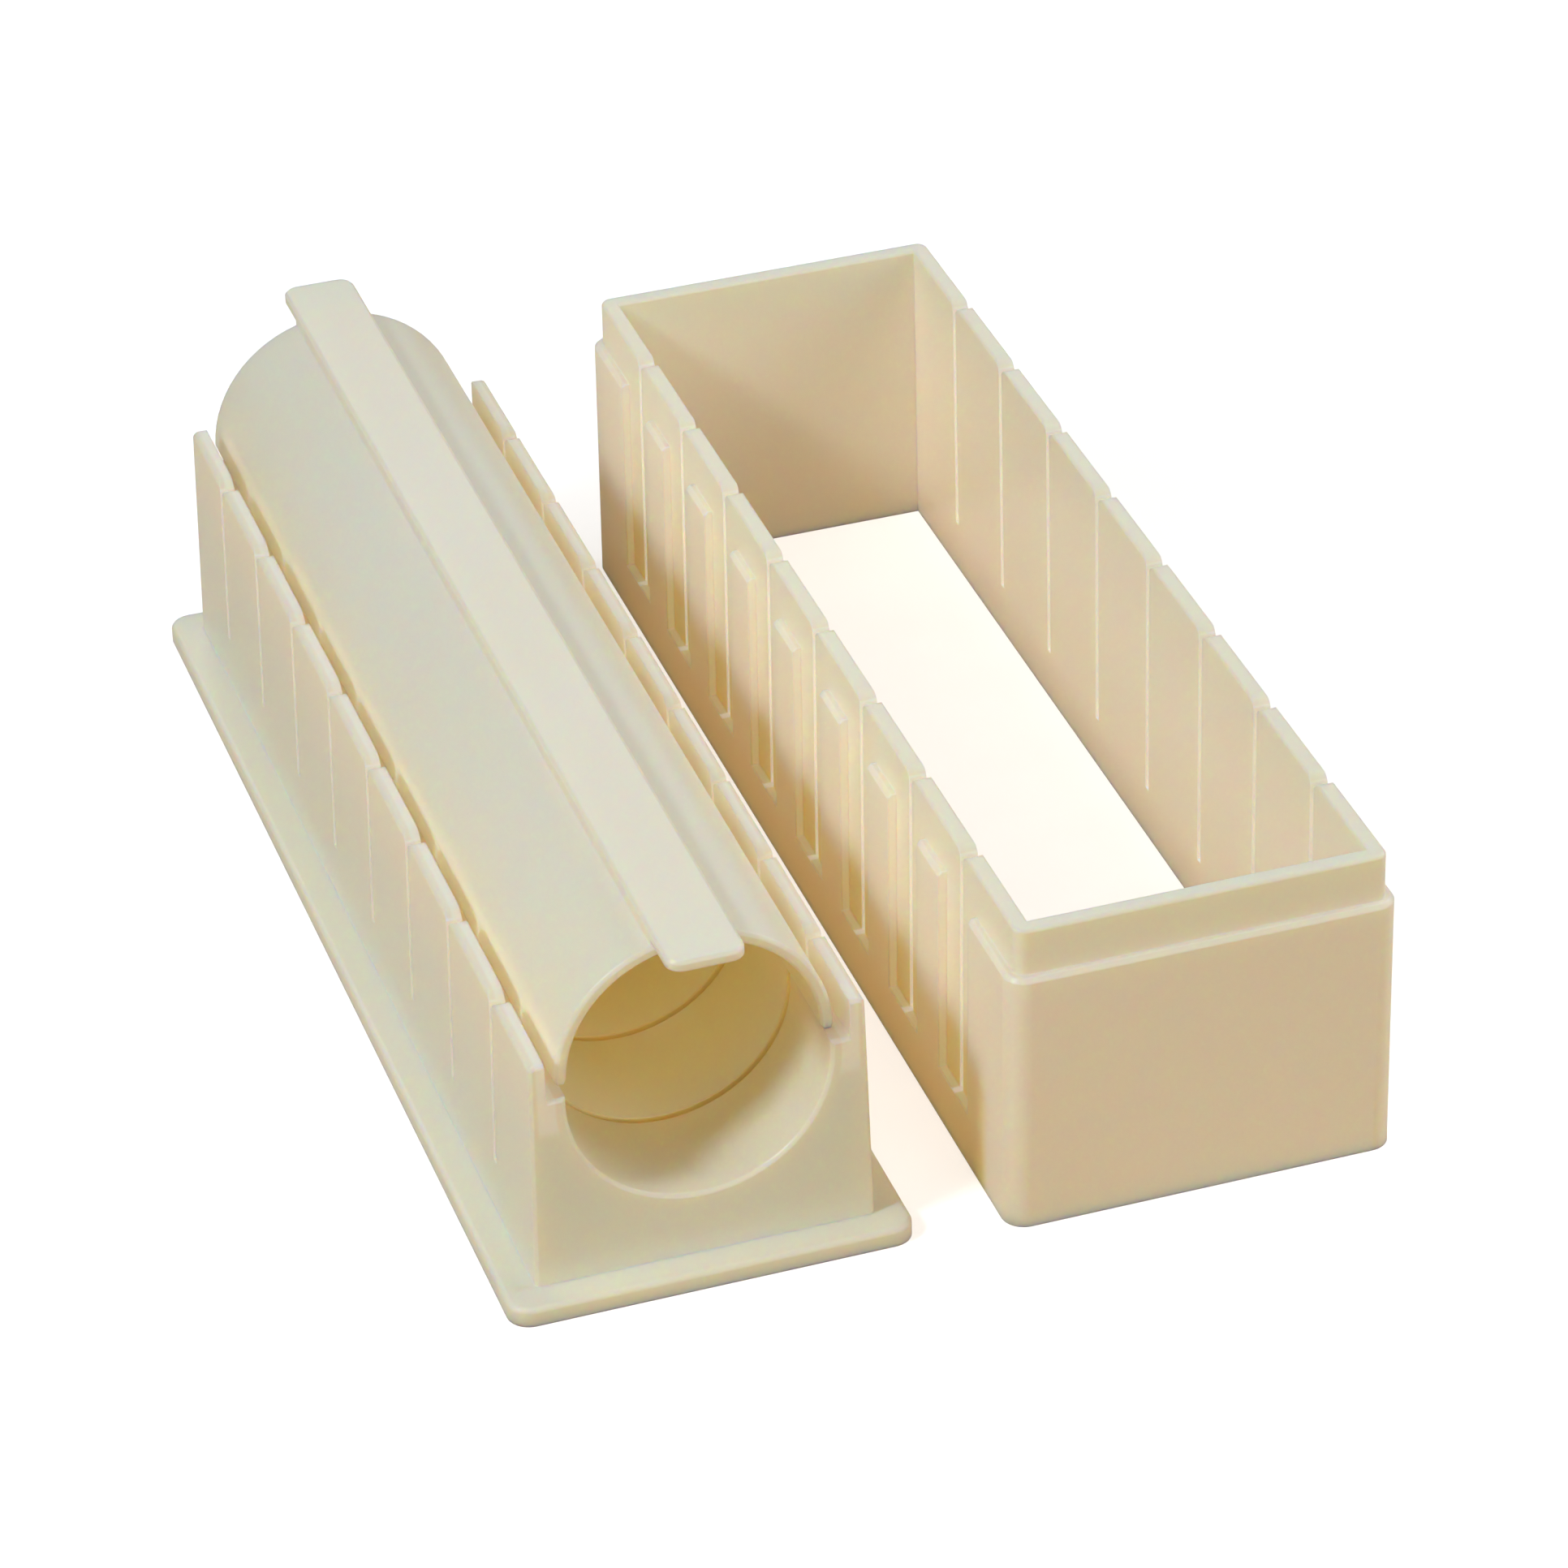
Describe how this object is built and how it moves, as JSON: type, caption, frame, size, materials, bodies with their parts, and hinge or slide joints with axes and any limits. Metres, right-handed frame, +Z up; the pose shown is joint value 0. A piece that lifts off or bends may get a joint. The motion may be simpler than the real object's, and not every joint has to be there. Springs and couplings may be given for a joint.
{
  "type": "sushi roll mould set",
  "caption": "Rice roll mould in translucent plastic: base tray with an open trough, half-round press cover with finger tabs, and an open slicing frame with knife slots.",
  "frame": {"origin": "on the table, in the middle of the outer box of the whole set", "axes": "+Z up from the table, +Y along the roll away from the viewer, +X across the roll from the tray towards the frame"},
  "size_m": [0.1402, 0.22, 0.0592],
  "materials": {
    "tray_plastic": "glossy translucent ivory",
    "cover_plastic": "glossy translucent ivory",
    "frame_plastic": "glossy translucent ivory"
  },
  "bodies": {
    "tray": {"base_tray": "tray_plastic"},
    "cover": {"press_cover": "cover_plastic"},
    "frame": {"slicing_frame": "frame_plastic"}
  },
  "joints": [
    {"name": "cover_lift", "type": "slide", "parent": "tray", "child": "cover", "axis": [0, 0, 1], "range_m": [0, 0.045]},
    {"name": "frame_lift", "type": "slide", "parent": "tray", "child": "frame", "axis": [0, 0, 1], "range_m": [0, 0.065]}
  ]
}
